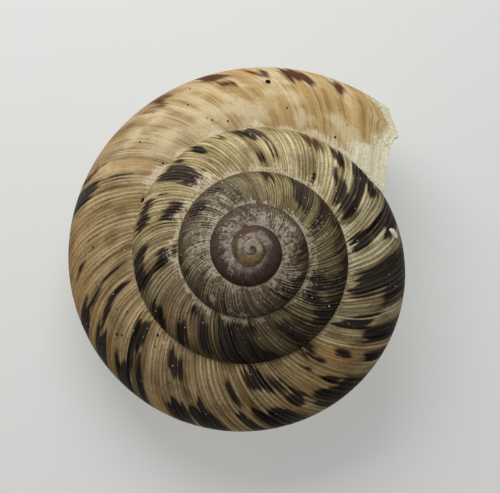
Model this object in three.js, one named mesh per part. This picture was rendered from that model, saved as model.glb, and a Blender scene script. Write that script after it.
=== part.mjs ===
// Land snail shell: a low right-handed spiral of about five and a half whorls, grown as one piece.
// Its wall is one closed surface. The outside runs over the spire, round the last whorl and up into the
// umbilicus, turns in at the thin lip, and runs back as the hollow that the animal lived in.
// Millimetres, +Z up. The shell lies on its underside, as it does on a table.
import * as THREE from "three";
import { ParametricGeometry } from "three/addons/geometries/ParametricGeometry.js";
import { mergeGeometries, mergeVertices } from "three/addons/utils/BufferGeometryUtils.js";

// Growth: the radius of the coil is a power of the number of turns, counted from the coil's own zero.
const LIP_RADIUS = 10.3; // axis to the outer edge of the lip
const LIP_TURN = 8.125; // turns from the zero of the growth law to the lip
const FIRST_TURN = 2.25; // the shell starts here, at a nucleus under half a millimetre across
const GROWTH_POWER = 3;
const LIP_AZIMUTH = THREE.MathUtils.degToRad(30); // direction of the lip where it meets the suture

// Section of a whorl, as shares of its own radius.
const UMBILICUS_RADIUS = 0.36;
const UMBILICUS_DEPTH = 0.32; // below the suture, of the seam inside the umbilicus
const BASE_RADIUS = 0.62; // where the underside is lowest
const BASE_DEPTH = 0.44; // below the suture, of the underside
const FLANK_SHARE = 0.5; // of the stretch from suture to umbilicus, before the base takes over

// Spire: a cone along the sutures, with a rounded apex.
const SPIRE_SLOPE = 0.62; // fall of the suture for each unit of radius
const APEX_ROUNDING = 0.8; // radius over which the apex is nearly flat

// Directions of the section's outline at its joints, in degrees from the outward radius.
const AT_INNER_SUTURE = -2;
const AT_OUTER_SUTURE = -63;
const AT_BASE = -180;
const AT_UMBILICUS = -232;
const AT_INNER_SEAM = -262;
const HANDLE = 0.38; // length of a curve's handles, as a share of its chord

// Wall.
const WALL = 0.42; // thickness of the last whorl, well inside the lip
const LIP_EDGE = 0.18; // thickness of the lip's edge
const CALLUS = 0.12; // glaze over the whorl before, inside the mouth
const LIP_TAPER_LINES = 4; // growth lines over which the lip thickens to the wall

// Growth lines: the mesh follows them. They lag behind the suture as they cross the whorl.
const LINES_PER_TURN = 48;
const LAG_AT_PERIPHERY = 2; // in growth lines
const LAG_AT_UMBILICUS = 3;
const LAG_AT_INNER_SEAM = 1;
const HOLLOW_TURNS = 2; // depth of the hollow, to where it is too narrow to see into
const UMBILICUS_TURNS = 3; // turns of the spiral that show in the umbilicus

// Faces across each stretch of the section.
const UPPER_FACES = 7;
const LOWER_FACES = 12;
const INNER_FACES = 4;
const HOLLOW_LINES = 2; // growth lines for each step of the hollow

// Rest: lying on its underside, the shell leans on the lip's base and on the whorl across from it.
const REST_LEAN = THREE.MathUtils.degToRad(10);
const REST_LEAN_AZIMUTH = THREE.MathUtils.degToRad(-109); // direction that the apex leans to
const REST_WEAR = 0.1; // depth of the small flats worn where it touches the table

const FIRST_LINE = FIRST_TURN * LINES_PER_TURN;
const LIP_LINE = LIP_TURN * LINES_PER_TURN;
const HOLLOW_STEPS = Math.round((HOLLOW_TURNS * LINES_PER_TURN) / HOLLOW_LINES);
const UMBILICUS_FIRST_LINE = LIP_LINE - UMBILICUS_TURNS * LINES_PER_TURN;
const PARIETAL_SHIFT = LINES_PER_TURN - LAG_AT_PERIPHERY; // from a growth line to the one it grew over

const radiusAt = (line) => LIP_RADIUS * (line / LIP_LINE) ** GROWTH_POWER;
function heading(degrees) {
  const angle = THREE.MathUtils.degToRad(degrees);
  return new THREE.Vector2(Math.cos(angle), Math.sin(angle));
}

// Joints of the section in its half plane: x is the distance from the axis, y the height from the apex.
function joint(radiusShare, depthShare, line) {
  const radius = radiusAt(line);
  const sutureDrop = SPIRE_SLOPE * (Math.hypot(radius, APEX_ROUNDING) - APEX_ROUNDING);
  return new THREE.Vector2(radiusShare * radius, -sutureDrop - depthShare * radius);
}
const sutureJoint = (line) => joint(1, 0, line);
const baseJoint = (line) => joint(BASE_RADIUS, BASE_DEPTH, line);
const umbilicusJoint = (line) => joint(UMBILICUS_RADIUS, UMBILICUS_DEPTH, line);

// A curve between two joints that leaves and arrives along the given headings.
function arc(start, startHeading, end, endHeading) {
  const reach = HANDLE * start.distanceTo(end);
  return new THREE.CubicBezierCurve(
    start,
    heading(startHeading).multiplyScalar(reach).add(start),
    heading(endHeading).multiplyScalar(-reach).add(end),
    end,
  );
}

// The three stretches of a whorl's outline: over the top, round the flank and base, and up the umbilicus.
// Each gives a point and its outward normal at share t of the stretch, on the growth line that starts there.
function onCurve(curve, t, line) {
  const tangent = curve.getTangent(t);
  return { point: curve.getPoint(t), normal: new THREE.Vector2(-tangent.y, tangent.x), line };
}
function onUpper(t, line) {
  const at = line - LAG_AT_PERIPHERY * t;
  const before = sutureJoint(at - LINES_PER_TURN);
  return onCurve(arc(before, AT_INNER_SUTURE, sutureJoint(at), AT_OUTER_SUTURE), t, at);
}
function onLower(t, line) {
  const at = line - THREE.MathUtils.lerp(LAG_AT_PERIPHERY, LAG_AT_UMBILICUS, t);
  if (t < FLANK_SHARE) {
    return onCurve(arc(sutureJoint(at), AT_OUTER_SUTURE, baseJoint(at), AT_BASE), t / FLANK_SHARE, at);
  }
  const base = arc(baseJoint(at), AT_BASE, umbilicusJoint(at), AT_UMBILICUS);
  return onCurve(base, (t - FLANK_SHARE) / (1 - FLANK_SHARE), at);
}
function onInner(t, line) {
  const at = line - THREE.MathUtils.lerp(LAG_AT_UMBILICUS, LAG_AT_INNER_SEAM, t);
  const before = umbilicusJoint(at - LINES_PER_TURN);
  return onCurve(arc(umbilicusJoint(at), AT_UMBILICUS, before, AT_INNER_SEAM), t, at);
}

// A point of the half plane, moved along its normal and turned to its place on the coil.
function place({ point, normal, line }, offset, target) {
  const turned = LIP_AZIMUTH - ((line - LIP_LINE) % LINES_PER_TURN) * ((2 * Math.PI) / LINES_PER_TURN);
  const radius = point.x + offset * normal.x;
  return target.set(radius * Math.cos(turned), radius * Math.sin(turned), point.y + offset * normal.y);
}

// A skin of the outside between two growth lines.
function skin(stretch, faces, firstLine, lastLine) {
  const lines = lastLine - firstLine;
  const surface = (t, v, target) => place(stretch(t, firstLine + Math.round(v * lines)), 0, target);
  return new ParametricGeometry(surface, faces, lines);
}

// The mouth's outline at a growth line: round the lip from suture to umbilicus, then back over the old whorl.
const LIP_FACES = UPPER_FACES + LOWER_FACES + INNER_FACES;
const MOUTH_FACES = LIP_FACES + LOWER_FACES;
function onLip(index, line) {
  if (index <= UPPER_FACES) return onUpper(index / UPPER_FACES, line);
  if (index <= UPPER_FACES + LOWER_FACES) return onLower((index - UPPER_FACES) / LOWER_FACES, line);
  return onInner((index - UPPER_FACES - LOWER_FACES) / INNER_FACES, line);
}
const onParietal = (index, line) => onLower(1 - index / LOWER_FACES, line - PARIETAL_SHIFT);

// A point of the hollow's wall. Thickness and glaze shrink with the whorl, and run out at the mouth.
function hollowPoint(index, depth, target) {
  const line = LIP_LINE - depth * HOLLOW_LINES;
  const size = radiusAt(line) / LIP_RADIUS;
  const inside = Math.min(1, (depth * HOLLOW_LINES) / LIP_TAPER_LINES);
  const wall = size * THREE.MathUtils.lerp(LIP_EDGE, WALL, inside);
  const glaze = size * CALLUS * inside;
  const corner = index % MOUTH_FACES === 0 || index === LIP_FACES;
  if (corner) {
    const top = index !== LIP_FACES;
    const lip = onLip(top ? 0 : LIP_FACES, line);
    const parietal = onParietal(top ? LOWER_FACES : 0, line);
    const shift = parietal.normal.multiplyScalar(glaze + wall * inside);
    shift.addScaledVector(lip.normal, -wall * inside);
    return place({ point: lip.point.add(shift), normal: lip.normal, line: lip.line }, 0, target);
  }
  if (index < LIP_FACES) return place(onLip(index, line), -wall, target);
  return place(onParietal(index - LIP_FACES, line), glaze, target);
}

function hollow() {
  const surface = (u, v, target) =>
    hollowPoint(Math.round(u * MOUTH_FACES), Math.round(v * HOLLOW_STEPS), target);
  return new ParametricGeometry(surface, MOUTH_FACES, HOLLOW_STEPS);
}

// The thin edge of the lip, from the outside to the hollow.
function lipEdge() {
  const surface = (u, v, target) => {
    const index = Math.round(u * LIP_FACES);
    return v < 0.5 ? place(onLip(index, LIP_LINE), 0, target) : hollowPoint(index, 0, target);
  };
  return new ParametricGeometry(surface, LIP_FACES, 1);
}

// A cap over a closed ring of points, fanned from their middle.
function cap(ring) {
  const middle = ring.reduce((sum, p) => sum.add(p), new THREE.Vector3()).divideScalar(ring.length);
  const corners = ring.flatMap((p, i) => [middle, p, ring[(i + 1) % ring.length]]);
  return new THREE.BufferGeometry().setFromPoints(corners);
}
const placed = (at) => place(at, 0, new THREE.Vector3());
const range = (count, make) => Array.from({ length: count }, (_, i) => make(i));

function nucleusCap() {
  const along = LINES_PER_TURN - LAG_AT_PERIPHERY;
  const suture = range(along, (i) => placed(onUpper(0, FIRST_LINE + i)));
  const start = range(UPPER_FACES, (i) => placed(onUpper(1 - i / UPPER_FACES, FIRST_LINE)));
  return cap([...suture, ...start]);
}
function umbilicusCap() {
  const along = LINES_PER_TURN - LAG_AT_UMBILICUS + LAG_AT_INNER_SEAM;
  const seam = range(along, (i) => placed(onInner(1, UMBILICUS_FIRST_LINE + i)));
  const start = range(INNER_FACES, (i) => placed(onInner(i / INNER_FACES, UMBILICUS_FIRST_LINE)));
  return cap([...seam, ...start].reverse());
}
function hollowCap() {
  return cap(range(MOUTH_FACES, (i) => hollowPoint(i, HOLLOW_STEPS, new THREE.Vector3())));
}

// Joins the skins along their shared edges, facing out, and drops the faces that closed up there.
function weld(skins) {
  const bare = skins.map((geometry) => {
    const flat = geometry.index ? geometry.toNonIndexed() : geometry;
    return new THREE.BufferGeometry().setAttribute("position", flat.getAttribute("position"));
  });
  const merged = mergeVertices(mergeGeometries(bare));
  const index = merged.index.array;
  const kept = [];
  for (let i = 0; i < index.length; i += 3) {
    const [a, b, c] = index.subarray(i, i + 3);
    if (a !== b && b !== c && c !== a) kept.push(a, c, b);
  }
  merged.setIndex(kept);
  return merged;
}

const geometry = weld([
  skin(onUpper, UPPER_FACES, FIRST_LINE, LIP_LINE),
  skin(onLower, LOWER_FACES, LIP_LINE - PARIETAL_SHIFT, LIP_LINE),
  skin(onInner, INNER_FACES, UMBILICUS_FIRST_LINE, LIP_LINE),
  lipEdge(),
  hollow(),
  nucleusCap(),
  umbilicusCap(),
  hollowCap(),
]);

// Leans the shell to its rest and sets it down on the table, flat where it touches.
function setDown(geometry) {
  const leanAxis = new THREE.Vector3(-Math.sin(REST_LEAN_AZIMUTH), Math.cos(REST_LEAN_AZIMUTH), 0);
  geometry.applyQuaternion(new THREE.Quaternion().setFromAxisAngle(leanAxis, REST_LEAN));
  geometry.computeBoundingBox();
  geometry.translate(0, 0, -geometry.boundingBox.min.z - REST_WEAR);
  const position = geometry.getAttribute("position");
  for (let i = 0; i < position.count; i++) position.setZ(i, Math.max(0, position.getZ(i)));
  geometry.computeBoundingBox();
  geometry.computeVertexNormals();
}
setDown(geometry);

const horn = new THREE.MeshStandardMaterial({ color: 0xb09a6c, roughness: 0.55, metalness: 0 });
const shell = new THREE.Mesh(geometry, horn);
shell.name = "shell";

// The origin is on the table, under the middle of the shell's outline.
const middle = geometry.boundingBox.getCenter(new THREE.Vector3());
shell.position.set(-middle.x, -middle.y, 0);

const object = new THREE.Group();
object.add(shell);

export default object;
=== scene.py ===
"""Land snail shell: a low right-handed spiral with ribs, dark flames, a worn last stretch and a broken lip.

The shell is one closed mesh that follows its own growth lines. Lengths are in metres, and +Z is up.
"""

import math

import bmesh
import bpy
import numpy as np
from mathutils import Matrix, Vector
from mathutils.bvhtree import BVHTree


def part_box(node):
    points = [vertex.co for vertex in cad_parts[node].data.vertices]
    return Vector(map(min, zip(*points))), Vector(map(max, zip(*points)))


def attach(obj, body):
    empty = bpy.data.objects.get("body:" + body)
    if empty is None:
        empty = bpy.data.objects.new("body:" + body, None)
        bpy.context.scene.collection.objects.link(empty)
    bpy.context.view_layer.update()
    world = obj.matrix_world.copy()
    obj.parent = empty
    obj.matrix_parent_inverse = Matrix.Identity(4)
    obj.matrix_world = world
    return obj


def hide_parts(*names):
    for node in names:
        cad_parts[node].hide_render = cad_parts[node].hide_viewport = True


bl_info = {
    "name": "Land Snail Shell",
    "version": (1, 0, 0),
    "blender": (4, 5, 0),
    "location": "View3D > Sidebar > Shell",
    "description": "Builds a ribbed and flamed land snail shell, lying on a pale table",
    "category": "Add Mesh",
}

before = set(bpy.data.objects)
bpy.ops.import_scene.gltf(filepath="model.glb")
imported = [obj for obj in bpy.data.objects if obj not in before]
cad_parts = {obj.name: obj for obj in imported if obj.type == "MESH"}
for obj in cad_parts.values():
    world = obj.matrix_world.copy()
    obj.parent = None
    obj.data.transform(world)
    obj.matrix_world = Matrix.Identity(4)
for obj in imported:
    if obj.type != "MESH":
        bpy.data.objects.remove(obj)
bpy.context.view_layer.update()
MILLIMETRE = 0.001

# Growth: the radius of the coil is a power of the number of turns, counted from the coil's own zero.
LIP_TURN = 8.125
FIRST_TURN = 2.25
GROWTH_POWER = 3
LIP_AZIMUTH = math.radians(30)

# Section of a whorl, as shares of its own radius, and the slope of the spire along the sutures.
UMBILICUS_RADIUS = 0.36
UMBILICUS_DEPTH = 0.32
BASE_RADIUS = 0.62
BASE_DEPTH = 0.44
SPIRE_SLOPE = 0.62
APEX_ROUNDING = 0.0777  # of the lip's radius

# Directions of the section's outline at its joints, in degrees from the outward radius.
AT_INNER_SUTURE = -2
AT_OUTER_SUTURE = -63
AT_BASE = -180
AT_UMBILICUS = -232
AT_INNER_SEAM = -262
HANDLE = 0.38

# Growth lines, which the mesh follows. They lag behind the suture as they cross the whorl.
LINES_PER_TURN = 960
LINES_PER_DEGREE = LINES_PER_TURN / 360
LAG_AT_PERIPHERY = 50
LAG_AT_UMBILICUS = 70
LAG_AT_INNER_SEAM = LAG_AT_UMBILICUS - LAG_AT_PERIPHERY
BEND_BELOW_PERIPHERY = 0.13  # of the way to the umbilicus, where the lines turn from slanting to straight
FIRST_LINE = round(FIRST_TURN * LINES_PER_TURN)
LIP_LINE = round(LIP_TURN * LINES_PER_TURN)
PARIETAL_SHIFT = LINES_PER_TURN - LAG_AT_PERIPHERY
UMBILICUS_TURNS = 3
UMBILICUS_FIRST_LINE = LIP_LINE - UMBILICUS_TURNS * LINES_PER_TURN
HOLLOW_LINES = 20
HOLLOW_STEPS = 96

# Places of the mesh's columns across the three stretches of a whorl, closer together along the suture.
ACROSS_UPPER = np.array([0, 0.025, 0.06, 0.12, 0.2, 0.3, 0.41, 0.52, 0.62, 0.69, 0.79, 0.9, 1.0])
ACROSS_LOWER = np.array([0, 0.04, 0.08, 0.12, 0.17, 0.25, 0.33, 0.42, 0.5, 0.6, 0.7, 0.8, 0.9, 1.0])
ACROSS_INNER = np.linspace(0, 1, 4)
UPPER_FACES = len(ACROSS_UPPER) - 1
LOWER_FACES = len(ACROSS_LOWER) - 1
INNER_FACES = len(ACROSS_INNER) - 1
LIP_FACES = UPPER_FACES + LOWER_FACES + INNER_FACES

# Rest: the shell leans on its lip's base and on the whorl across from it, on small worn flats.
REST_LEAN = math.radians(10)
REST_LEAN_AZIMUTH = math.radians(-109)
REST_WEAR = 0.1 * MILLIMETRE

CREASE_ANGLE = math.radians(45)  # sutures and the lip's edge stay crisp

# Broken lip: place across the whorl, and how far the edge runs there ahead of the last growth line, in degrees.
LIP_BREAK = (
    ((0, 0), (0.03, 7.2), (0.1, 6.4), (0.18, 4.2), (0.25, 2.8), (0.36, 2.6), (0.46, 2.3), (0.54, 3.2))
    + ((0.62, 3.8), (0.69, 5.4), (0.79, 4.3), (0.9, 3.4), (1.0, 3.4), (1.05, 5.2), (1.1, 6.3), (1.2, 7.1))
    + ((1.3, 6.9), (1.6, 5.8), (2, 1.5), (3, 0))
)
LIP_BREAK_DEPTH = 14  # degrees behind the lip over which the growth lines bend to the break
WALL_THICKENS = 30  # degrees behind the lip over which the wall comes to its full thickness

# Flaked edge of the lip: it fades out between these degrees behind the lip, raggedly, and it reaches farther
# along the suture: from and to across the whorl, and degrees.
FLAKED_FADE = (-1, 9)
FLAKED_RAGGED = 6
FLAKED_AT_SUTURE = ((0.12, 0.34, 9), (0, 0.09, 8))

# Wear: the last stretch has lost most of its ribs. Degrees are counted back from the lip, along the coil.
WORN_TO = 101
WORN_FADE = 9
WORN_RAGGED = 14
WORN_RIBS = 0.3
NUCLEUS_FROM = 1110  # the first whorls have no ribs
NUCLEUS_FADE = 130
WHORL_BREADTH = 0.36  # of the lip's radius, from suture to periphery

# Ribs and threads: how far they wander, in lines, how their strength varies, how the relief grows with the
# whorl, and where it dies out, so that the whorls meet in clean sutures.
RIB_WANDER = 4
RIB_WEAKEST = 0.3
RIB_VARIATION = 1.2
RIB_GROWTH = 0.62
THREAD_SPACING = 0.45  # of the ribs'
THREAD_HEIGHT = 0.35  # of the ribs'
SWELL_HEIGHT = 0.6  # of the ribs', for the soft unevenness under them
FLAT_AT_SUTURE = (0, 0.05)
FLAT_UNDER_WHORL = (0.94, 1)
FLAT_FADE = 8  # lines, where the last whorl stops covering the one before it
LOW_BELOW_RIM = (0.8, 1.1)
LOWERED_BELOW_RIM = 0.6
LOWERED_WHERE_FLAKED = 0.75

# Soft random patterns over a whorl: degrees along the coil for one cell, cells across the upper side, and seed.
WANDER_CELLS = (8, 2.5, 17)
STRENGTH_CELLS = (2.7, 3.5, 5)
RAGGED_CELLS = (6, 5, 3)
SMUDGE_CELLS = (3.5, 3, 37)
CRUST_CELLS = (9, 1.5, 29)
SWELL_CELLS = (9, 1.5, 8)
NOISE_CELLS = 256  # after so many cells a pattern repeats

# Painted shade, partly brown stain, in the crease before the outer suture: its strength by degrees back from
# the lip, its places across the whorl, and where painted shade begins under the rim, brown smudges on the worn
# rim, and painted shade in the pit of the apex.
SUTURE_SHADE_AND_STAIN = ((360, 0.1), (480, 0.2), (560, 0.9), (760, 0.9), (900, 0.6))
SUTURE_SHADE_ACROSS = (0.62, 0.96)
RIM_SHADE = 0.25
RIM_SHADE_BACK = (105, 130)
RIM_SHADE_ACROSS = (0.88, 1.04)
SMUDGES_BACK = (50, 62)
SMUDGES_ACROSS = (0.62, 0.84)
SMUDGE_GAPS = 0.1
APEX_PIT = (2050, 2090)

# Lime crust by degrees back from the lip: its width along the inner suture, its strength there, and the thin
# crust over the whorls inside, which is weaker on their outer part.
CRUST_WIDTH = ((20, 0.06), (45, 0.03), (180, 0.03), (280, 0.04), (340, 0.06), (700, 0.08), (1200, 0.1))
CRUST_STRENGTH = ((0, 0.9), (100, 0.9), (120, 0.35), (260, 0.3), (310, 0.75), (1250, 0.8), (1400, 0.3))
CRUST_OVER_WHORL = (
    ((520, 0), (600, 0.1), (700, 0.3), (735, 0.15), (775, 0.32), (800, 0.46), (880, 0.4), (900, 0.33))
    + ((960, 0.3), (1020, 0.48), (1100, 0.56), (1180, 0.58), (1230, 0.5), (1300, 0.42), (1420, 0))
)
CRUST_OUTER_PART = (0.35, 0.85)
CRUST_OUTER_LOSS = 0.65
CRUST_RAGGED = 0.14

# Spots of colour: how raggedly and how softly they end across the whorl, the teeth of their ends in degrees and
# as a share of the spot's half width, and how softly they end at their sides.
SPOT_RAGGED = 0.2
SPOT_END = 0.16
SPOT_TOOTH = 1.4
SPOT_TOOTH_SHARE = 0.25
SPOT_SIDE = 1.7
SPOT_CELLS_ACROSS = 1.5
SPOT_SEED = 13

# Specks: seed of their shapes, how much they vary in dents, length and width, and how high their middle sits.
SPECK_SEED = 157
SPECK_DENTS = (0.75, 1.15)
SPECK_LENGTH = (0.75, 1.1)
SPECK_WIDTH = (0.8, 1.2)
SPECK_RAISED = 0.17  # of the height, so that a third of it sits in the surface

# Camera of the picture
CAMERA_AZIMUTH = math.radians(-9.45)
CAMERA_ELEVATION = math.radians(71.9)
CAMERA_ROLL = math.radians(6.0)
IMAGE_WIDTH, IMAGE_HEIGHT = 500, 493
APEX_PIXEL = (251.7, 248.8)
PIXELS_PER_METRE = 20911  # at the apex
CAMERA_DISTANCE = 0.26  # to the apex
FOCAL_PIXELS = PIXELS_PER_METRE * CAMERA_DISTANCE
SENSOR = 36

# Table and soft key light
TABLE_SIZE = 1.2
KEY_SIZE = (0.065, 0.05)
KEY_DISTANCE = 0.072
KEY_ELEVATION = math.radians(50)
KEY_ASIDE = -0.15

# Dark flames: degrees back from the lip, half width in degrees, from and to across the whorl, and darkness.
FLAMES = (
    (100, 1.0, 0.76, 0.87, 0.6),
    (107.4, 3.0, 0.7, 1.1, 1.0),
    (106.8, 3.0, 0.2, 0.64, 0.42),
    (120.7, 1.6, 0.08, 0.3, 0.4),
    (116.5, 2.2, 0.3, 0.6, 0.36),
    (127, 1.5, 0.35, 0.75, 0.38),
    (133.8, 1.3, 0.75, 0.95, 0.7),
    (139, 1.6, 0.2, 0.5, 0.36),
    (146.6, 0.7, 0.08, 0.45, 0.55),
    (148.1, 1.0, 0.4, 0.76, 0.65),
    (146.4, 2.6, 0.78, 1.12, 1.0),
    (155, 1.1, 0.1, 0.5, 0.7),
    (156.1, 1.2, 0.35, 0.7, 0.8),
    (157.8, 2.6, 0.76, 1.15, 1.0),
    (175, 3.4, 0.1, 0.45, 1.0),
    (173.4, 1.3, 0.4, 0.75, 0.9),
    (169.7, 3.0, 0.76, 1.12, 1.0),
    (177.7, 1.5, 0.5, 1.25, 0.95),
    (195.5, 3.0, 0.12, 0.43, 1.0),
    (192.1, 3.6, 0.8, 1.1, 1.0),
    (202.2, 4.4, 0.78, 1.1, 1.0),
    (203.9, 1.3, 0.58, 0.8, 0.9),
    (211.2, 0.8, 0.4, 0.56, 0.5),
    (219.9, 1.3, 0.25, 0.62, 0.75),
    (217.7, 1.6, 0.73, 1.25, 1.0),
    (233.6, 3.8, 0.07, 0.42, 1.0),
    (228.2, 5.4, 0.73, 1.25, 1.0),
    (241.8, 3.5, 0.15, 0.5, 0.6),
    (241.7, 3.2, 0.48, 0.74, 0.95),
    (244, 1.5, 0.88, 1.25, 0.8),
    (252.8, 6.0, 0.74, 1.25, 1.0),
    (257, 1.6, 0.58, 0.78, 1.0),
    (256.9, 1.2, 0.24, 0.36, 0.8),
    (265.1, 4.2, 0.0, 0.2, 0.65),
    (263.9, 1.2, 0.18, 0.42, 0.8),
    (270.8, 1.8, 0.35, 0.56, 0.8),
    (270.1, 1.9, 0.78, 1.25, 1.0),
    (281, 3.0, 0.58, 1.25, 1.0),
    (286.2, 2.2, 0.1, 0.62, 0.95),
    (290.5, 0.9, 0.2, 0.62, 0.7),
    (307.5, 6.0, 0.1, 0.82, 0.88),
    (303.1, 8.0, 0.62, 1.25, 0.94),
    (330.2, 4.2, 0.05, 0.36, 0.85),
    (330, 2.5, 0.34, 0.72, 1.0),
    (326, 4.6, 0.7, 1.25, 1.0),
    (351.5, 7.5, 0.1, 0.46, 0.85),
    (348.7, 3.0, 0.42, 0.78, 0.95),
    (345.8, 7.0, 0.74, 1.0, 1.0),
    (362.5, 2.0, 0.28, 0.52, 0.75),
    (361.5, 2.6, 0.64, 0.96, 0.9),
    (375.3, 1.1, 0.12, 0.26, 0.9),
    (378.4, 3.0, 0.08, 0.2, 0.4),
    (391.1, 1.6, 0.8, 1.0, 0.5),
    (397, 0.5, 0.2, 0.6, 0.6),
    (399.5, 0.5, 0.2, 0.6, 0.6),
    (403.1, 4.6, 0.6, 0.93, 0.85),
    (406.6, 1.8, 0.14, 0.36, 0.75),
    (415.5, 1.6, 0.72, 0.9, 0.7),
    (428.6, 2.6, 0.65, 0.93, 0.85),
    (432.7, 0.6, 0.2, 0.5, 0.5),
    (440.6, 1.5, 0.2, 0.32, 0.8),
    (438.5, 1.8, 0.72, 0.87, 0.8),
    (449.5, 4.4, 0.06, 0.46, 0.95),
    (446.4, 5.0, 0.44, 0.93, 1.0),
    (465.6, 3.4, 0.64, 0.88, 0.85),
    (474.7, 3.8, 0.6, 0.89, 0.95),
    (474.2, 6.5, 0.07, 0.36, 0.8),
    (461.1, 0.6, 0.4, 0.62, 0.5),
    (465.1, 0.6, 0.4, 0.62, 0.5),
    (503.6, 5.5, 0.07, 0.42, 0.75),
    (498.5, 8.5, 0.6, 0.96, 0.95),
    (506.1, 1.1, 0.38, 0.62, 0.7),
    (521.8, 5.5, 0.7, 1.0, 0.9),
    (540.8, 3.5, 0.48, 0.97, 0.85),
    (550.1, 6.0, 0.14, 0.32, 0.75),
    (555.8, 4.0, 0.25, 0.92, 0.85),
    (577, 9.5, 0.1, 1.0, 1.0),
    (584.8, 10.0, 0.1, 0.26, 0.9),
    (589.4, 4.5, 0.68, 0.97, 0.6),
    (614, 4.2, 0.18, 0.92, 0.8),
    (622.5, 4.0, 0.3, 0.95, 0.55),
    (634, 8.0, 0.58, 1.0, 1.0),
    (640.1, 3.0, 0.36, 0.62, 0.95),
    (651.7, 12.0, 0.04, 0.42, 0.85),
    (650.8, 8.5, 0.44, 1.0, 0.6),
    (663.7, 5.0, 0.78, 0.97, 0.8),
    (680.2, 7.0, 0.5, 1.0, 0.5),
    (691.9, 5.5, 0.74, 0.92, 0.75),
    (703.1, 5.0, 0.1, 0.95, 0.7),
    (725.2, 7.5, 0.28, 0.97, 0.75),
    (750.5, 3.5, 0.58, 1.0, 0.7),
    (793.4, 4.0, 0.58, 0.82, 0.75),
    (815.4, 8.0, 0.48, 0.92, 0.75),
    (854, 20.0, 0.66, 0.95, 0.55),
    (890, 12.0, 0.2, 0.95, 0.4),
    (921, 11.0, 0.25, 0.97, 0.45),
    (990, 17.0, 0.15, 0.97, 0.55),
    (1033, 14.0, 0.3, 0.97, 0.45),
)

# Rusty spots, in the same terms.
RUST_SPOTS = (
    (14.6, 2.2, 0.78, 1.03, 0.8),
    (27.3, 3.6, 0.72, 1.0, 1.0),
    (38.2, 2.6, 0.79, 0.97, 0.8),
    (51.1, 3.7, 0.79, 1.02, 0.9),
    (51.6, 2.2, 0.6, 0.71, 1.0),
    (68, 4.2, 0.8, 1.0, 0.72),
    (74.5, 1.6, 0.62, 0.95, 0.5),
    (81, 1.6, 0.8, 0.98, 0.45),
    (89, 1.4, 0.55, 0.85, 0.4),
    (99.5, 2.2, 0.82, 1.0, 0.8),
    (373.4, 4.6, 0.66, 1.0, 0.62),
)

# Amber patches, in the same terms.
AMBER_PATCHES = (
    (9, 5.0, 0.75, 1.1, 0.5),
    (22, 4.0, 0.8, 1.15, 0.6),
    (43, 6.0, 0.9, 1.2, 0.9),
    (59, 4.0, 0.86, 1.2, 0.6),
    (30, 1.2, 0.35, 0.8, 0.35),
    (38, 1.0, 0.3, 0.75, 0.3),
    (16, 0.9, 0.25, 0.7, 0.3),
    (74, 7.0, 0.74, 1.05, 0.8),
    (90, 8.0, 0.74, 1.08, 0.9),
    (101, 2.0, 0.1, 0.8, 0.6),
    (117, 3.0, 0.74, 1.1, 0.6),
    (126, 4.0, 0.72, 1.2, 0.8),
    (138, 4.5, 0.68, 1.2, 1.0),
    (151, 3.0, 0.6, 1.1, 0.8),
    (163, 3.0, 0.66, 1.1, 0.9),
    (184, 4.0, 0.72, 1.2, 0.9),
    (210, 4.0, 0.5, 0.9, 0.5),
    (222, 2.0, 0.55, 0.95, 0.5),
    (237, 3.0, 0.45, 0.85, 0.6),
    (249, 5.0, 0.25, 0.72, 0.4),
    (262, 3.0, 0.45, 0.95, 0.6),
    (268, 5.0, 0.18, 0.66, 1.0),
    (274, 3.0, 0.6, 1.0, 0.7),
    (299, 1.5, 0.1, 0.6, 0.3),
    (533, 6.0, 0.45, 0.85, 0.5),
    (548, 4.0, 0.5, 0.95, 0.6),
    (1660, 40.0, 0.2, 0.66, 0.6),
)

# Frosted lime on the first whorls, pale lilac that on the nucleus is partly a painted reflection, in the same
# terms.
FROST_AND_REFLECTION_PATCHES = (
    (1150, 40.0, 0.0, 0.18, 0.5),
    (1225, 40.0, 0.0, 0.26, 0.7),
    (1320, 60.0, 0.0, 0.22, 0.5),
    (1445, 28.0, 0.0, 0.46, 0.8),
    (1530, 55.0, 0.0, 0.4, 0.9),
    (1640, 60.0, 0.8, 1.0, 0.8),
    (1650, 60.0, 0.0, 0.16, 0.7),
    (1790, 50.0, 0.0, 0.6, 0.8),
    (1900, 70.0, 0.0, 1.0, 0.9),
)

# Thicker lumps of lime crust, in the same terms.
LIME_PATCHES = (
    (190, 3.5, 0.0, 0.14, 0.7),
    (213, 3.0, 0.5, 0.7, 0.5),
    (330, 20.0, 0.0, 0.1, 0.7),
    (385, 12.0, 0.0, 0.12, 0.7),
    (447, 9.0, 0.0, 0.22, 0.9),
    (490, 28.0, 0.0, 0.12, 0.95),
    (680, 36.0, 0.0, 0.1, 0.85),
    (892, 9.0, 0.0, 0.2, 0.8),
    (904, 3.0, 0.5, 0.8, 0.8),
    (930, 6.0, 0.0, 0.2, 0.8),
    (928, 8.0, 0.72, 0.95, 0.7),
    (985, 8.0, 0.0, 0.3, 0.8),
    (1007, 4.0, 0.45, 0.75, 0.8),
    (1030, 20.0, 0.0, 0.2, 0.8),
    (1063, 4.0, 0.5, 0.75, 0.8),
    (1072, 20.0, 0.0, 0.25, 0.8),
)
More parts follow.
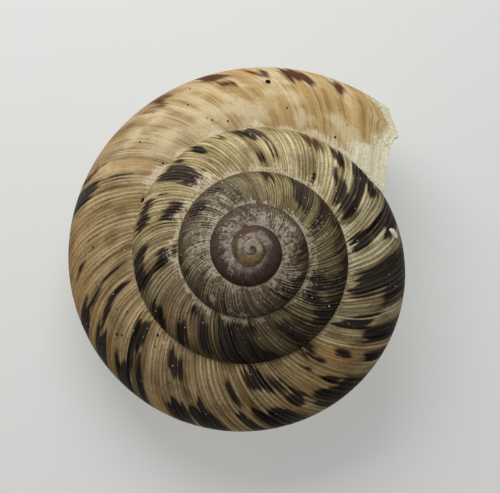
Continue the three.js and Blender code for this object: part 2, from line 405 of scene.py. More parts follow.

# Ground tones by degrees back from the lip: of the ribs, partly a painted highlight, and of the grooves between
# them.
GROUND_TONES = (
    (0, "#CDBC92", "#B39C68"),
    (14, "#C4AB78", "#946F3C"),
    (55, "#C6AF82", "#937244"),
    (80, "#CFBD99", "#AA936A"),
    (110, "#BBA47A", "#7C6440"),
    (210, "#DBC193", "#705838"),
    (255, "#DCC490", "#785E3C"),
    (300, "#D8CAA0", "#6E5F42"),
    (330, "#DED2AA", "#736542"),
    (400, "#D4C498", "#7C6B40"),
    (470, "#D0BF92", "#6C5A38"),
    (520, "#A99674", "#4F402C"),
    (580, "#9A8B68", "#3C2F24"),
    (680, "#948764", "#3D3124"),
    (745, "#A99C70", "#52452B"),
    (790, "#8F856E", "#40362B"),
    (900, "#9A8B72", "#4E402F"),
    (1000, "#93846B", "#45392C"),
    (1090, "#7A6C5C", "#3E332C"),
    (1180, "#6A5C52", "#453A34"),
    (1300, "#665249", "#503E38"),
    (1420, "#5C4C42", "#483932"),
    (1560, "#6E5E48", "#584834"),
    (1700, "#7C683F", "#6A5432"),
    (2100, "#8A7C6C", "#786A5C"),
)
TONE_SPAN = 2160

# Grains of soil and flakes of lime that stuck to the shell: place in the picture in pixels, and length in
# millimetres.
SOIL_GRAINS = (
    (268, 82, 0.34),
    (287, 108, 0.13),
    (335, 137, 0.13),
    (314, 174, 0.17),
    (347, 125, 0.08),
    (381, 108, 0.09),
    (251, 126, 0.09),
    (190, 89, 0.1),
    (188, 105, 0.12),
    (207, 118, 0.09),
    (212, 120, 0.12),
    (228, 121, 0.13),
    (140, 142, 0.13),
    (123, 150, 0.08),
    (163, 163, 0.14),
    (143, 200, 0.24),
    (153, 113, 0.07),
    (144, 131, 0.07),
    (117, 309, 0.1),
    (127, 311, 0.12),
    (117, 334, 0.14),
    (122, 335, 0.12),
    (155, 346, 0.11),
    (158, 335, 0.18),
    (93, 247, 0.14),
    (89, 327, 0.16),
    (100, 344, 0.15),
)
LIME_FLAKES = (
    (393, 233, 0.78),
    (329, 306, 0.16),
    (389, 274, 0.07),
    (404, 258, 0.06),
    (283, 263, 0.12),
    (199, 182, 0.13),
    (173, 171, 0.07),
    (366, 340, 0.06),
    (276, 414, 0.07),
    (345, 344, 0.09),
)


def linear(code):
    """Linear colour, with alpha, of an sRGB hex code."""
    parts = [int(code[i : i + 2], 16) / 255 for i in (1, 3, 5)]
    return (*[p / 12.92 if p <= 0.04045 else ((p + 0.055) / 1.055) ** 2.4 for p in parts], 1.0)


def smoothstep(low, high, x):
    """0 below low, 1 above high, and an eased rise between them."""
    t = np.clip((x - low) / (high - low), 0, 1)
    return t * t * (3 - 2 * t)


def soft_noise(x, y, seed):
    """Smooth random values from 0 to 1 over a plane, one cell for each unit."""
    table = np.random.default_rng(seed).random((NOISE_CELLS, NOISE_CELLS))
    column, row = np.floor(x).astype(int), np.floor(y).astype(int)
    u, v = x - column, y - row
    u, v = u * u * (3 - 2 * u), v * v * (3 - 2 * v)

    def corner(i, j):
        return table[(column + i) % NOISE_CELLS, (row + j) % NOISE_CELLS]

    near = corner(0, 0) * (1 - u) + corner(1, 0) * u
    far = corner(0, 1) * (1 - u) + corner(1, 1) * u
    return near * (1 - v) + far * v


class ShellShape(bpy.types.PropertyGroup):
    """Sizes of the shell."""

    lip_radius: bpy.props.FloatProperty(
        name="Lip radius", description="Coil axis to the outer edge of the lip", default=0.0103, unit="LENGTH"
    )
    wall: bpy.props.FloatProperty(
        name="Wall", description="Thickness of the last whorl inside the lip", default=0.00042, unit="LENGTH"
    )
    lip_edge: bpy.props.FloatProperty(
        name="Lip edge", description="Thickness of the broken lip's edge", default=0.00016, unit="LENGTH"
    )
    glaze: bpy.props.FloatProperty(
        name="Glaze", description="Thickness of the glaze inside the mouth", default=0.00012, unit="LENGTH"
    )
    rib_spacing: bpy.props.FloatProperty(
        name="Rib spacing", description="Crest to crest at the rim by the lip", default=0.00033, unit="LENGTH"
    )
    rib_height: bpy.props.FloatProperty(
        name="Rib height", description="Height of the ribs near the lip", default=0.000042, unit="LENGTH"
    )


class StudioLook(bpy.types.PropertyGroup):
    """Table and light."""

    table_colour: bpy.props.FloatVectorProperty(
        name="Table", description="Colour of the table", subtype="COLOR", size=4, default=linear("#9C9D9B")
    )
    table_glow: bpy.props.FloatProperty(name="Table glow", description="Light of the table's own", default=0.4)
    key_power: bpy.props.FloatProperty(
        name="Key light", description="Power of the soft light behind the shell", default=0.056, unit="POWER"
    )
    sky: bpy.props.FloatProperty(name="Sky", description="Strength of the light from all round", default=0.2)


# Growth law and section
def radius_at(line):
    """Radius of the coil at a growth line, as a share of the lip's."""
    return (line / LIP_LINE) ** GROWTH_POWER


def joint(radius_share, depth_share, line):
    """A joint of the section in its half plane: distance from the axis, and height from the apex."""
    radius = radius_at(line)
    drop = SPIRE_SLOPE * (np.hypot(radius, APEX_ROUNDING) - APEX_ROUNDING)
    return np.stack([radius_share * radius, -drop - depth_share * radius], -1)


def arc(start, start_heading, end, end_heading, t):
    """Points and outward normals at share t of a curve that leaves and arrives along the given headings."""
    reach = HANDLE * np.linalg.norm(end - start, axis=-1, keepdims=True)
    toward = [np.array([math.cos(a), math.sin(a)]) for a in map(math.radians, (start_heading, end_heading))]
    first, second = start + reach * toward[0], end - reach * toward[1]
    t = t[..., None]
    s = 1 - t
    point = s**3 * start + 3 * s * s * t * first + 3 * s * t * t * second + t**3 * end
    tangent = s * s * (first - start) + 2 * s * t * (second - first) + t * t * (end - second)
    tangent /= np.linalg.norm(tangent, axis=-1, keepdims=True)
    return point, np.stack([-tangent[..., 1], tangent[..., 0]], -1)


def suture_joint(line):
    return joint(1, 0, line)


def base_joint(line):
    return joint(BASE_RADIUS, BASE_DEPTH, line)


def umbilicus_joint(line):
    return joint(UMBILICUS_RADIUS, UMBILICUS_DEPTH, line)


def lip_break(line, across):
    """Lines by which a growth line bends ahead to the broken edge of the lip."""
    ahead = np.interp(across, *np.transpose(LIP_BREAK)) * LINES_PER_DEGREE
    return ahead * smoothstep(LIP_LINE - LIP_BREAK_DEPTH * LINES_PER_DEGREE, LIP_LINE, line)


def upper(t, line):
    """Over the top of the whorl, from suture to suture."""
    at = line - LAG_AT_PERIPHERY * t + lip_break(line, t)
    inner = suture_joint(at - LINES_PER_TURN)
    return *arc(inner, AT_INNER_SUTURE, suture_joint(at), AT_OUTER_SUTURE, t), at


def lower(t, line):
    """Round the flank and the base, from the suture to the umbilicus."""
    turned = (1 - np.exp(-t / BEND_BELOW_PERIPHERY)) / (1 - math.exp(-1 / BEND_BELOW_PERIPHERY))
    lag = LAG_AT_PERIPHERY + (LAG_AT_UMBILICUS - LAG_AT_PERIPHERY) * turned
    at = line - lag + lip_break(line, 1 + t)
    flank = arc(suture_joint(at), AT_OUTER_SUTURE, base_joint(at), AT_BASE, np.clip(2 * t, 0, 1))
    base = arc(base_joint(at), AT_BASE, umbilicus_joint(at), AT_UMBILICUS, np.clip(2 * t - 1, 0, 1))
    first_half = (t < 0.5)[..., None]
    return np.where(first_half, flank[0], base[0]), np.where(first_half, flank[1], base[1]), at


def inner(t, line):
    """Up the side of the umbilicus."""
    at = line - LAG_AT_UMBILICUS + (LAG_AT_UMBILICUS - LAG_AT_INNER_SEAM) * t + lip_break(line, 2 + t)
    before = umbilicus_joint(at - LINES_PER_TURN)
    return *arc(umbilicus_joint(at), AT_UMBILICUS, before, AT_INNER_SEAM, t), at


def on_coil(point, normal, at, offset):
    """Points of the half plane, moved along their normals and turned to their places on the coil."""
    azimuth = LIP_AZIMUTH - (at - LIP_LINE) * (2 * math.pi / LINES_PER_TURN)
    moved = point + np.asarray(offset)[..., None] * normal
    return np.stack([moved[..., 0] * np.cos(azimuth), moved[..., 0] * np.sin(azimuth), moved[..., 1]], -1)


# Ribs and markings
def rib_crests(lip_spacing, uneven, weakest, sharpness, seed):
    """Height of one set of ribs at each growth line, from 0 in a groove to 1 on a strong crest."""
    draw = np.random.default_rng(seed)
    places, strengths = [float(FIRST_LINE)], [1.0]
    while places[-1] < LIP_LINE:
        crowding = radius_at(places[-1]) ** (-1 / 3)
        places.append(places[-1] + lip_spacing * crowding * draw.uniform(1 - uneven, 1 + uneven))
        strengths.append(draw.uniform(weakest, 1.0))
    lines = np.arange(FIRST_LINE, LIP_LINE + 1)
    places, strengths = np.array(places), np.array(strengths)
    before = np.clip(np.searchsorted(places, lines, side="right") - 1, 0, len(places) - 2)
    phase = (lines - places[before]) / (places[before + 1] - places[before])
    strength = np.where(phase < 0.5, strengths[before], strengths[before + 1])
    return strength * (0.5 + 0.5 * np.cos(2 * math.pi * phase)) ** sharpness


def growth_ribs(shape):
    """The main ribs, with finer threads between them."""
    spacing = shape.rib_spacing * LINES_PER_TURN / (2 * math.pi * shape.lip_radius)
    main = rib_crests(spacing, uneven=0.42, weakest=0.2, sharpness=2.2, seed=11)
    fine = rib_crests(THREAD_SPACING * spacing, uneven=0.4, weakest=0.0, sharpness=1.0, seed=23)
    return np.clip(main + THREAD_HEIGHT * fine * (1 - main), 0, 1)


def marked(spots, back, across):
    """Strength of spots that follow the growth lines, soft at their sides and ragged at their ends."""
    total = np.zeros_like(back)
    for centre, half_width, start, end, strength in spots:
        tooth = max(SPOT_TOOTH, SPOT_TOOTH_SHARE * half_width)
        teeth = soft_noise(back / tooth, SPOT_CELLS_ACROSS * across, SPOT_SEED) - 0.5
        ragged = across + SPOT_RAGGED * teeth
        sides = np.clip(SPOT_SIDE - np.abs(back - centre) / half_width, 0, 1)
        ends = np.clip(np.minimum(ragged - start, end - ragged) / SPOT_END + 0.5, 0, 1)
        total = np.maximum(total, strength * sides * ends)
    return total


class Strip:
    """A grid of the outside, up to the lip: places, and what its surface shows there."""

    def __init__(self, stretch, columns, first_line, start_across, shape, crests):
        self.t, self.line = np.meshgrid(columns, np.arange(first_line, LIP_LINE + 1.0))
        self.across = start_across + self.t
        self.back = (LIP_LINE - self.line) / LINES_PER_DEGREE
        self.point, self.normal, self.at = stretch(self.t, self.line)
        self.along_mm, self.across_mm = self.unrolled(shape.lip_radius / MILLIMETRE)
        ragged = self.noise(RAGGED_CELLS) - 0.5
        self.wear = 1 - smoothstep(WORN_TO, WORN_TO + WORN_FADE, self.back + WORN_RAGGED * ragged)
        marks = (FLAMES, RUST_SPOTS, AMBER_PATCHES, FROST_AND_REFLECTION_PATCHES)
        self.pigment, self.rust, self.amber, self.frost = (marked(m, self.back, self.across) for m in marks)
        self.chalk = self.lime_crust(ragged)
        self.pale = self.flaked_lip(ragged)
        # Painted shade by the sutures, under the rim and in the apex pit, with some brown stain and smudges.
        self.shade = self.painted_shade_and_smudges()
        self.crest = self.rib_crest(crests)
        self.relief = self.rib_relief(shape)

    def noise(self, cells):
        """Soft random values from 0 to 1, in cells of the given degrees, count across and seed."""
        degrees, count, seed = cells
        return soft_noise(self.back / degrees, self.across * count, seed)

    def along_coil(self, stops):
        """Value at each place from stops of degrees back from the lip and values."""
        return np.interp(self.back, *np.transpose(stops))

    def unrolled(self, lip_radius):
        """Place on the unrolled whorl in millimetres: along the coil, and across it."""
        share = self.line / LIP_LINE
        along = lip_radius * 2 * math.pi * LIP_TURN / (GROWTH_POWER + 1) * share ** (GROWTH_POWER + 1)
        breadth = WHORL_BREADTH * lip_radius * share ** (GROWTH_POWER - 1)
        return along, self.across * breadth

    def lime_crust(self, ragged):
        """Share of pale crust: along the inner suture, thin over the whorls inside, and in thicker lumps."""
        width = self.along_coil(CRUST_WIDTH)
        # Patchy on the skin, and more even on the worn wall.
        patchy = 0.5 * self.wear + (1.6 - 0.8 * self.wear) * self.noise(CRUST_CELLS)
        edge = self.across + CRUST_RAGGED * ragged
        fade = smoothstep(0.3 * width * patchy, 2 * width * patchy + 0.01, edge)
        along_suture = self.along_coil(CRUST_STRENGTH) * (1 - fade)
        inner_part = 1 - CRUST_OUTER_LOSS * smoothstep(*CRUST_OUTER_PART, self.across)
        over_whorl = self.along_coil(CRUST_OVER_WHORL) * inner_part * (0.5 + 0.6 * patchy)
        lumps = marked(LIME_PATCHES, self.back, self.across)
        return np.maximum(np.maximum(along_suture, over_whorl), lumps)

    def flaked_lip(self, ragged):
        """Share of the flaked edge of the lip, which reaches farther along the suture."""
        behind = self.back + FLAKED_RAGGED * ragged
        for low, high, farther in FLAKED_AT_SUTURE:
            behind = behind - farther * (1 - smoothstep(low, high, self.across))
        return 1 - smoothstep(*FLAKED_FADE, behind)

    def painted_shade_and_smudges(self):
        """Share of painted shade: under the rim of the last whorl, with brown smudges, and inside it at the
        suture, with some brown stain, and in the apex pit.
        """
        smudged = smoothstep(*SMUDGES_BACK, self.back) * self.wear * smoothstep(*SMUDGES_ACROSS, self.across)
        rim = RIM_SHADE * smoothstep(*RIM_SHADE_BACK, self.back) * smoothstep(*RIM_SHADE_ACROSS, self.across)
        rim = np.maximum(rim, smudged * (self.noise(SMUDGE_CELLS) - SMUDGE_GAPS))
        before_suture = self.along_coil(SUTURE_SHADE_AND_STAIN) * smoothstep(*SUTURE_SHADE_ACROSS, self.across)
        inside = np.maximum(before_suture, smoothstep(*APEX_PIT, self.back))
        return np.where(self.back < 360, rim, inside)

    def rib_crest(self, crests):
        """Height of the ribs, from 0 to 1: they wander, vary in strength and die out toward the apex."""
        wander = RIB_WANDER * (self.noise(WANDER_CELLS) - 0.5)
        crest = np.interp(self.line + wander, np.arange(FIRST_LINE, LIP_LINE + 1), crests)
        uneven = RIB_WEAKEST + RIB_VARIATION * self.noise(STRENGTH_CELLS)
        ribbed = smoothstep(NUCLEUS_FROM + NUCLEUS_FADE, NUCLEUS_FROM, self.back)
        return np.clip(crest * uneven, 0, 1) * ribbed

    def rib_relief(self, shape):
        """Height of the surface above the smooth whorl, as a share of the lip's radius."""
        bare_from = LIP_LINE - LINES_PER_TURN
        covered = smoothstep(bare_from + FLAT_FADE, bare_from - FLAT_FADE, self.at)
        at_outer = 1 - covered * smoothstep(*FLAT_UNDER_WHORL, self.across)
        below = 1 - LOWERED_BELOW_RIM * smoothstep(*LOW_BELOW_RIM, self.across)
        worn = 1 - (1 - WORN_RIBS) * self.wear
        ribs = self.crest * worn * below * (1 - LOWERED_WHERE_FLAKED * self.pale)
        swell = SWELL_HEIGHT * self.noise(SWELL_CELLS) * below
        size = radius_at(np.clip(self.at, FIRST_LINE, None))
        height = shape.rib_height / shape.lip_radius * size**RIB_GROWTH
        return height * (ribs + swell) * smoothstep(*FLAT_AT_SUTURE, self.across) * at_outer

    def place(self):
        return on_coil(self.point, self.normal, self.at, self.relief)


# Mesh of the shell
def hollow_points(shape):
    """Grid of the hollow's wall: round the mouth, and back into the shell."""
    depth = np.arange(HOLLOW_STEPS + 1)
    line = (LIP_LINE - depth * HOLLOW_LINES)[:, None].astype(float)
    size = radius_at(line)
    inside = np.clip((LIP_LINE - line) / (WALL_THICKENS * LINES_PER_DEGREE), 0, 1)
    wall = size * (shape.lip_edge + (shape.wall - shape.lip_edge) * inside) / shape.lip_radius
    glaze = size * shape.glaze / shape.lip_radius * inside
    parts = []
    for stretch, columns in ((upper, ACROSS_UPPER), (lower, ACROSS_LOWER[1:]), (inner, ACROSS_INNER[1:])):
        t, at_line = np.meshgrid(columns, line[:, 0])
        parts.append((*stretch(t, at_line), -wall * np.ones_like(t)))
    t, at_line = np.meshgrid(ACROSS_LOWER[::-1], line[:, 0] - PARIETAL_SHIFT)
    parietal = (*lower(t, at_line), glaze * np.ones_like(t))
    lip = [np.concatenate([p[i] for p in parts], 1) for i in range(4)]
    grid = np.concatenate([on_coil(*lip), on_coil(*parietal)[:, 1:-1]], 1)
    for corner, end in ((0, -1), (LIP_FACES, 0)):
        across_wall = -wall * inside * lip[1][:, corner]
        off_parietal = (glaze + wall * inside) * parietal[1][:, end]
        shifted = lip[0][:, corner] + across_wall + off_parietal
        grid[:, corner] = on_coil(shifted, lip[1][:, corner], lip[2][:, corner], np.zeros(len(depth)))
    return grid


class ShellMesh:
    """Collects the vertices, faces and marks of the welded shell."""

    MARKS = ("back", "along_mm", "across_mm", "crest", "wear", "pigment")
    MARKS += ("rust", "amber", "chalk", "frost", "pale", "shade")

    def __init__(self):
        self.points, self.faces, self.marks, self.glazed = [], [], [], []
        self.count = 0

    def add(self, points):
        """Adds vertices, and returns their numbers in the same grid."""
        points = np.asarray(points)
        numbers = self.count + np.arange(points[..., 0].size).reshape(points.shape[:-1])
        self.points.append(points.reshape(-1, 3))
        self.count += numbers.size
        return numbers

    def skin(self, numbers, marks, glazed=False):
        """Adds the faces of a grid of vertex numbers, with the marks of each of their corners."""
        def corners(grid):
            return np.stack([grid[:-1, :-1], grid[1:, :-1], grid[1:, 1:], grid[:-1, 1:]], -1).reshape(-1, 4)

        quads, values = corners(numbers), [corners(m) for m in marks]
        for k, quad in enumerate(quads.tolist()):
            kept = [i for i in range(4) if quad[i] != quad[i - 1]]
            if len(kept) > 2:
                self.faces.append([quad[i] for i in kept])
                self.marks.extend([[v[k, i] for v in values] for i in kept])
                self.glazed.append(glazed)

    def cap(self, ring, mark, glazed=False):
        """Adds a fan over a closed ring of vertex numbers."""
        points = np.concatenate(self.points)
        middle = self.add(points[ring].mean(0)[None])[0]
        for a, b in zip(ring, np.roll(ring, -1)):
            self.faces.append([int(middle), int(b), int(a)])
            self.marks.extend([mark] * 3)
            self.glazed.append(glazed)


def shell_mesh(shape):
    """The whole shell as one closed mesh, in shares of the lip's radius, with its apex at the origin."""
    crests = growth_ribs(shape)
    mesh = ShellMesh()
    top = Strip(upper, ACROSS_UPPER, FIRST_LINE, 0, shape, crests)
    flank = Strip(lower, ACROSS_LOWER, LIP_LINE - PARIETAL_SHIFT, 1, shape, crests)
    well = Strip(inner, ACROSS_INNER, UMBILICUS_FIRST_LINE, 2, shape, crests)

    # A whorl's inner suture is the outer suture of the whorl before it.
    top_numbers = mesh.add(top.place())
    top_numbers[PARIETAL_SHIFT:, 0] = top_numbers[: len(top_numbers) - PARIETAL_SHIFT, -1]
    flank_numbers = mesh.add(flank.place())
    flank_numbers[:, 0] = top_numbers[-len(flank_numbers) :, -1]
    well_numbers = mesh.add(well.place())
    well_numbers[-len(flank_numbers) :, 0] = flank_numbers[:, -1]
    seam_shift = LINES_PER_TURN - LAG_AT_UMBILICUS + LAG_AT_INNER_SEAM
    well_numbers[seam_shift:, -1] = well_numbers[: len(well_numbers) - seam_shift, 0]

    hollow = hollow_points(shape)
    hollow_numbers = mesh.add(hollow)
    hollow_numbers[0, 0] = top_numbers[-1, 0]
    hollow_numbers[0, LIP_FACES] = well_numbers[-1, -1]
    hollow_numbers[0, LIP_FACES + 1 :] = flank_numbers[0, ::-1][1:-1]
    hollow_ring = np.concatenate([hollow_numbers, hollow_numbers[:, :1]], 1)

    for strip, numbers in ((top, top_numbers), (flank, flank_numbers), (well, well_numbers)):
        mesh.skin(numbers, [getattr(strip, name) for name in ShellMesh.MARKS])
    lip_numbers = np.concatenate([top_numbers[-1], flank_numbers[-1, 1:], well_numbers[-1, 1:]])
    edge = np.stack([lip_numbers, hollow_numbers[0, : LIP_FACES + 1]])
    edge_marks = []
    for name in ShellMesh.MARKS:
        along_lip = [getattr(strip, name)[-1, start:] for strip, start in ((top, 0), (flank, 1), (well, 1))]
        edge_marks.append(np.stack([np.concatenate(along_lip)] * 2))
    mesh.skin(edge, edge_marks)
    depth = np.repeat(np.arange(HOLLOW_STEPS + 1.0)[:, None], hollow_ring.shape[1], 1)
    plain = np.zeros_like(depth)
    hollow_marks = [depth * HOLLOW_LINES / LINES_PER_DEGREE] + [plain] * (len(ShellMesh.MARKS) - 1)
    mesh.skin(hollow_ring, hollow_marks, glazed=True)

    first_mark = [getattr(top, n)[0, -1] for n in ShellMesh.MARKS]
    mesh.cap(np.concatenate([top_numbers[:PARIETAL_SHIFT, 0], top_numbers[0, :0:-1]]), first_mark)
    well_mark = [getattr(well, n)[0, -1] for n in ShellMesh.MARKS]
    mesh.cap(np.concatenate([well_numbers[:seam_shift, -1], well_numbers[0, :-1]])[::-1], well_mark)
    mesh.cap(hollow_ring[-1, :-1], [0.0] * len(ShellMesh.MARKS), glazed=True)
    smooth = [on_coil(s.point, s.normal, s.at, np.zeros_like(s.t)).reshape(-1, 3) for s in (top, flank)]
    return mesh, np.concatenate(smooth)


def rest_matrix():
    """Turn from the shell's own axis to its lean on the table."""
    axis = Vector((-math.sin(REST_LEAN_AZIMUTH), math.cos(REST_LEAN_AZIMUTH), 0))
    return np.array(Matrix.Rotation(REST_LEAN, 3, axis))


def rest_shift(smooth):
    """Move from the leaning shell's apex to its place on the table: the middle of the frame's own box."""
    low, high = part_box("shell")
    middle = (np.array(low) + np.array(high)) / 2 - (smooth.min(0) + smooth.max(0)) / 2
    return np.array([middle[0], middle[1], low.z - smooth[:, 2].min() - REST_WEAR])


# Materials
def add_node(tree, kind, inputs=(), **settings):
    """Adds a node with its settings, and sets or links its inputs."""
    node = tree.nodes.new(kind)
    for name, value in settings.items():
        setattr(node, name, value)
    for name, value in dict(inputs).items():
        if isinstance(value, bpy.types.NodeSocket):
            tree.links.new(value, node.inputs[name])
        else:
            node.inputs[name].default_value = value
    return node


def new_material(name, values=()):
    """A node material with the given values on its surface shader."""
    material = bpy.data.materials.new(name)
    material.use_nodes = True
    for socket, value in dict(values).items():
        material.node_tree.nodes["Principled BSDF"].inputs[socket].default_value = value
    return material


def periostracum():
    """Horn-like skin over a chalky wall, laid down rib by rib: satin, warm and streaked along the ribs."""
    material = new_material("horny periostracum", {"Specular IOR Level": 0.02})
    tree = material.node_tree
    mark = {n: add_node(tree, "ShaderNodeAttribute", attribute_name=n).outputs["Fac"] for n in ShellMesh.MARKS}
    object_place = add_node(tree, "ShaderNodeTexCoord").outputs["Object"]
    unrolled = add_node(tree, "ShaderNodeCombineXYZ", {"X": mark["along_mm"], "Y": mark["across_mm"]})

    # Grain: granules of crust of 0.14 mm, and the grain of the skin, which mostly follows the ribs: its size
    # along the coil and across the whorl, in millimetres, and its detail. Noise stays near its middle, so it is
    # spread out.
    patterns = {"crust": (object_place, 1 / (0.14 * MILLIMETRE), 3)}
    for name, along, across, detail in (
        ("fibre", 0.075, 1.1, 2),
        ("streak", 0.3, 3.0, 3),
        ("wash", 0.55, 7.0, 1.5),
        ("line", 0.11, 4.5, 1.5),
        ("mottle", 1.7, 1.3, 3),
    ):
        scaled = {0: unrolled.outputs["Vector"], 1: (1 / along, 1 / across, 1)}
        place = add_node(tree, "ShaderNodeVectorMath", scaled, operation="MULTIPLY")
        patterns[name] = (place.outputs["Vector"], 1, detail)
    grain = {}
    for name, (place, scale, detail) in patterns.items():
        noise = add_node(tree, "ShaderNodeTexNoise", {"Vector": place, "Scale": scale, "Detail": detail})
        spread = {"Value": noise.outputs["Fac"], "From Min": 0.3, "From Max": 0.7}
        grain[name] = add_node(tree, "ShaderNodeMapRange", spread).outputs["Result"]

    # Ground tones of the ribs and of the grooves, both changing along the coil.
    age = add_node(tree, "ShaderNodeMath", {0: mark["back"], 1: TONE_SPAN}, operation="DIVIDE")
    tone = {}
    for name, column in (("rib", 1), ("groove", 2)):
        ramp = add_node(tree, "ShaderNodeValToRGB", {"Fac": age.outputs["Value"]})
        stops = ramp.color_ramp.elements
        for row in GROUND_TONES:
            stops.new(row[0] / TONE_SPAN).color = linear(row[column])
        stops[0].color = linear(GROUND_TONES[0][column])
        stops[-1].color = linear(GROUND_TONES[-1][column])
        tone[name] = ramp.outputs["Color"]

    # What changes with the wear: its value on the skin, and on the bare wall.
    by_wear = {}
    for name, on_skin, on_wall in (("ribbed", 0.4, 1), ("whiteness", 0.52, 0.8), ("pit_shade", 0.32, 0.14)):
        change = {"Value": mark["wear"], "To Min": on_skin, "To Max": on_wall}
        by_wear[name] = add_node(tree, "ShaderNodeMapRange", change).outputs["Result"]
    granules = {"Factor": by_wear["ribbed"], "A": grain["crust"], "B": grain["fibre"]}
    granules = add_node(tree, "ShaderNodeMix", granules).outputs["Result"]
    flecks = add_node(tree, "ShaderNodeMath", {0: grain["mottle"], 1: grain["crust"]}, operation="ADD")

    # Sums: a first value, and what is added to it with its weight. The ridge is lighter on the rib crests,
    # partly a painted highlight. Flames are thinner on the ribs, a painted sheen, where crust is thicker, and
    # the others only get ragged edges from the grain.
    total = {}
    for name, value, parts in (
        ("ridge", -0.28, ((grain["wash"], 0.45), (grain["fibre"], 0.45), (mark["crest"], 1.15))),
        ("scratch", grain["line"], ((grain["mottle"], -0.6),)),
        ("rust", mark["rust"], ((grain["streak"], 0.3),)),
        ("flame", mark["pigment"], ((grain["streak"], 0.34), (grain["fibre"], 0.24), (mark["crest"], -0.24))),
        ("crust", mark["chalk"], ((granules, 0.9), (mark["crest"], 0.3))),
        ("frost", 0.4, ((grain["crust"], 0.5),)),
        ("lip", mark["pale"], ((grain["crust"], 0.28),)),
        ("height", grain["fibre"], ((grain["crust"], mark["chalk"]),)),
    ):
        for part, weight in parts:
            added = {0: part, 1: weight, 2: value}
            value = add_node(tree, "ShaderNodeMath", added, operation="MULTIPLY_ADD").outputs["Value"]
        total[name] = value

    # Shares that cover the ground: most of them rise between two values, eased, up to the most that they cover.
    share = {}
    for name, value, low, high, most, rise in (
        ("bare", grain["mottle"], 0.42, 0.75, 0.85, "LINEAR"),
        ("scratch", total["scratch"], 0.2, 0.8, 0.6, "SMOOTHSTEP"),
        ("tanned", grain["mottle"], 0.55, 0.1, 0.4, "SMOOTHSTEP"),
        ("rust", total["rust"], 0.3, 0.9, 0.95, "SMOOTHSTEP"),
        ("fringe", total["flame"], 0.42, 0.85, 0.75, "SMOOTHSTEP"),
        ("flame", total["flame"], 0.56, 0.98, 1, "SMOOTHSTEP"),
        ("crust", total["crust"], 0.8, 1.45, 0.75, "SMOOTHSTEP"),
        ("lip", total["lip"], 0.4, 1.0, 0.95, "SMOOTHSTEP"),
        # Pores: dark specks where the grain is low, painted shade of small pits, more on the skin than on the
        # bare wall.
        ("pores", grain["crust"], 0.45, 0, by_wear["pit_shade"], "SMOOTHSTEP"),
    ):
        limits = {"Value": value, "From Min": low, "From Max": high, "To Max": most}
        share[name] = add_node(tree, "ShaderNodeMapRange", limits, interpolation_type=rise).outputs["Result"]
    for name, value, factor in (
        ("worn", mark["wear"], 0.86),
        ("amber", mark["amber"], grain["streak"]),
        # Painted shade by the sutures, under the rim and in the apex pit, with some brown stain and smudges.
        ("shade", mark["shade"], 0.6),
        # Pale lilac lime, on the nucleus partly a painted reflection.
        ("frost", mark["frost"], total["frost"]),
        ("flecks", flecks.outputs["Value"], grain["streak"]),
    ):
        product = add_node(tree, "ShaderNodeMath", {0: value, 1: factor}, operation="MULTIPLY")
        share[name] = product.outputs["Value"]

    # Dust: white grains up to 0.07 mm across, in some of the 0.22 mm cells.
    cell = add_node(tree, "ShaderNodeTexVoronoi", {"Vector": object_place, "Scale": 1 / (0.22 * MILLIMETRE)})
    chance = add_node(tree, "ShaderNodeSeparateColor", {"Color": cell.outputs["Color"]})
    reach = {"Value": chance.outputs["Red"], "From Min": 0.6, "From Max": 1, "To Min": -0.05, "To Max": 0.16}
    reach = add_node(tree, "ShaderNodeMapRange", reach)
    within = {0: cell.outputs["Distance"], 1: reach.outputs["Result"]}
    share["dust"] = add_node(tree, "ShaderNodeMath", within, operation="LESS_THAN").outputs["Value"]

    # Colours that change from place to place: pale ribs over darker grooves, the crests partly a painted
    # highlight, the wall under the skin in washes, flames that are greyer on the ribs as a painted sheen, lime
    # that is whiter on the wall, and the flaked lip with white flecks.
    colour = {}
    for name, factor, first, second in (
        ("skin", total["ridge"], tone["groove"], tone["rib"]),
        ("wall", grain["wash"], tone["groove"], tone["rib"]),
        ("flame", total["ridge"], linear("#0B0606"), linear("#4E453D")),
        ("lime", by_wear["whiteness"], tone["rib"], linear("#E8D8C2")),
        ("lip", share["flecks"], linear("#C6BC98"), linear("#E6E1CA")),
    ):
        blend = {"Factor": factor, "A": first, "B": second}
        colour[name] = add_node(tree, "ShaderNodeMix", blend, data_type="RGBA").outputs["Result"]

    # Layers, each over the one before: cream and tan scratches on the wall, and then all that lies on the skin,
    # which is worn down to that wall on the last stretch.
    on_wall = (("bare", "#CEBE98"), ("scratch", "#6E5028"))
    # The shade layer is painted shade, with some brown stain and smudges.
    on_skin = (("tanned", "#46351F"), ("worn", "wall"), ("amber", "#BE945C"), ("shade", "#33261B"))
    on_skin += (("rust", "#45200F"), ("fringe", "#3C251C"), ("flame", "flame"), ("crust", "lime"))
    # The frosted lime layer on the nucleus is partly a painted reflection.
    # The pores layer is painted shade of small pits.
    on_skin += (("frost", "#B3A69E"), ("lip", "lip"), ("pores", "#2A1F16"), ("dust", "#C9C4B8"))
    for name, layers in (("wall", on_wall), ("skin", on_skin)):
        for layer, over in layers:
            over = colour[over] if over in colour else linear(over)
            blend = {"Factor": share[layer], "A": colour[name], "B": over}
            colour[name] = add_node(tree, "ShaderNodeMix", blend, data_type="RGBA").outputs["Result"]

    # Satin, a little smoother on the flames and matt on the crust, with fine fibres and granules.
    rough = 0.48
    for part, weight in ((share["crust"], 0.3), (share["flame"], -0.1)):
        added = {0: part, 1: weight, 2: rough}
        rough = add_node(tree, "ShaderNodeMath", added, operation="MULTIPLY_ADD").outputs["Value"]
    relief = {"Height": total["height"], "Strength": 0.6, "Distance": 0.025 * MILLIMETRE}
    bump = add_node(tree, "ShaderNodeBump", relief)
    shader = tree.nodes["Principled BSDF"]
    tree.links.new(colour["skin"], shader.inputs["Base Color"])
    tree.links.new(rough, shader.inputs["Roughness"])
    tree.links.new(bump.outputs["Normal"], shader.inputs["Normal"])
    return material


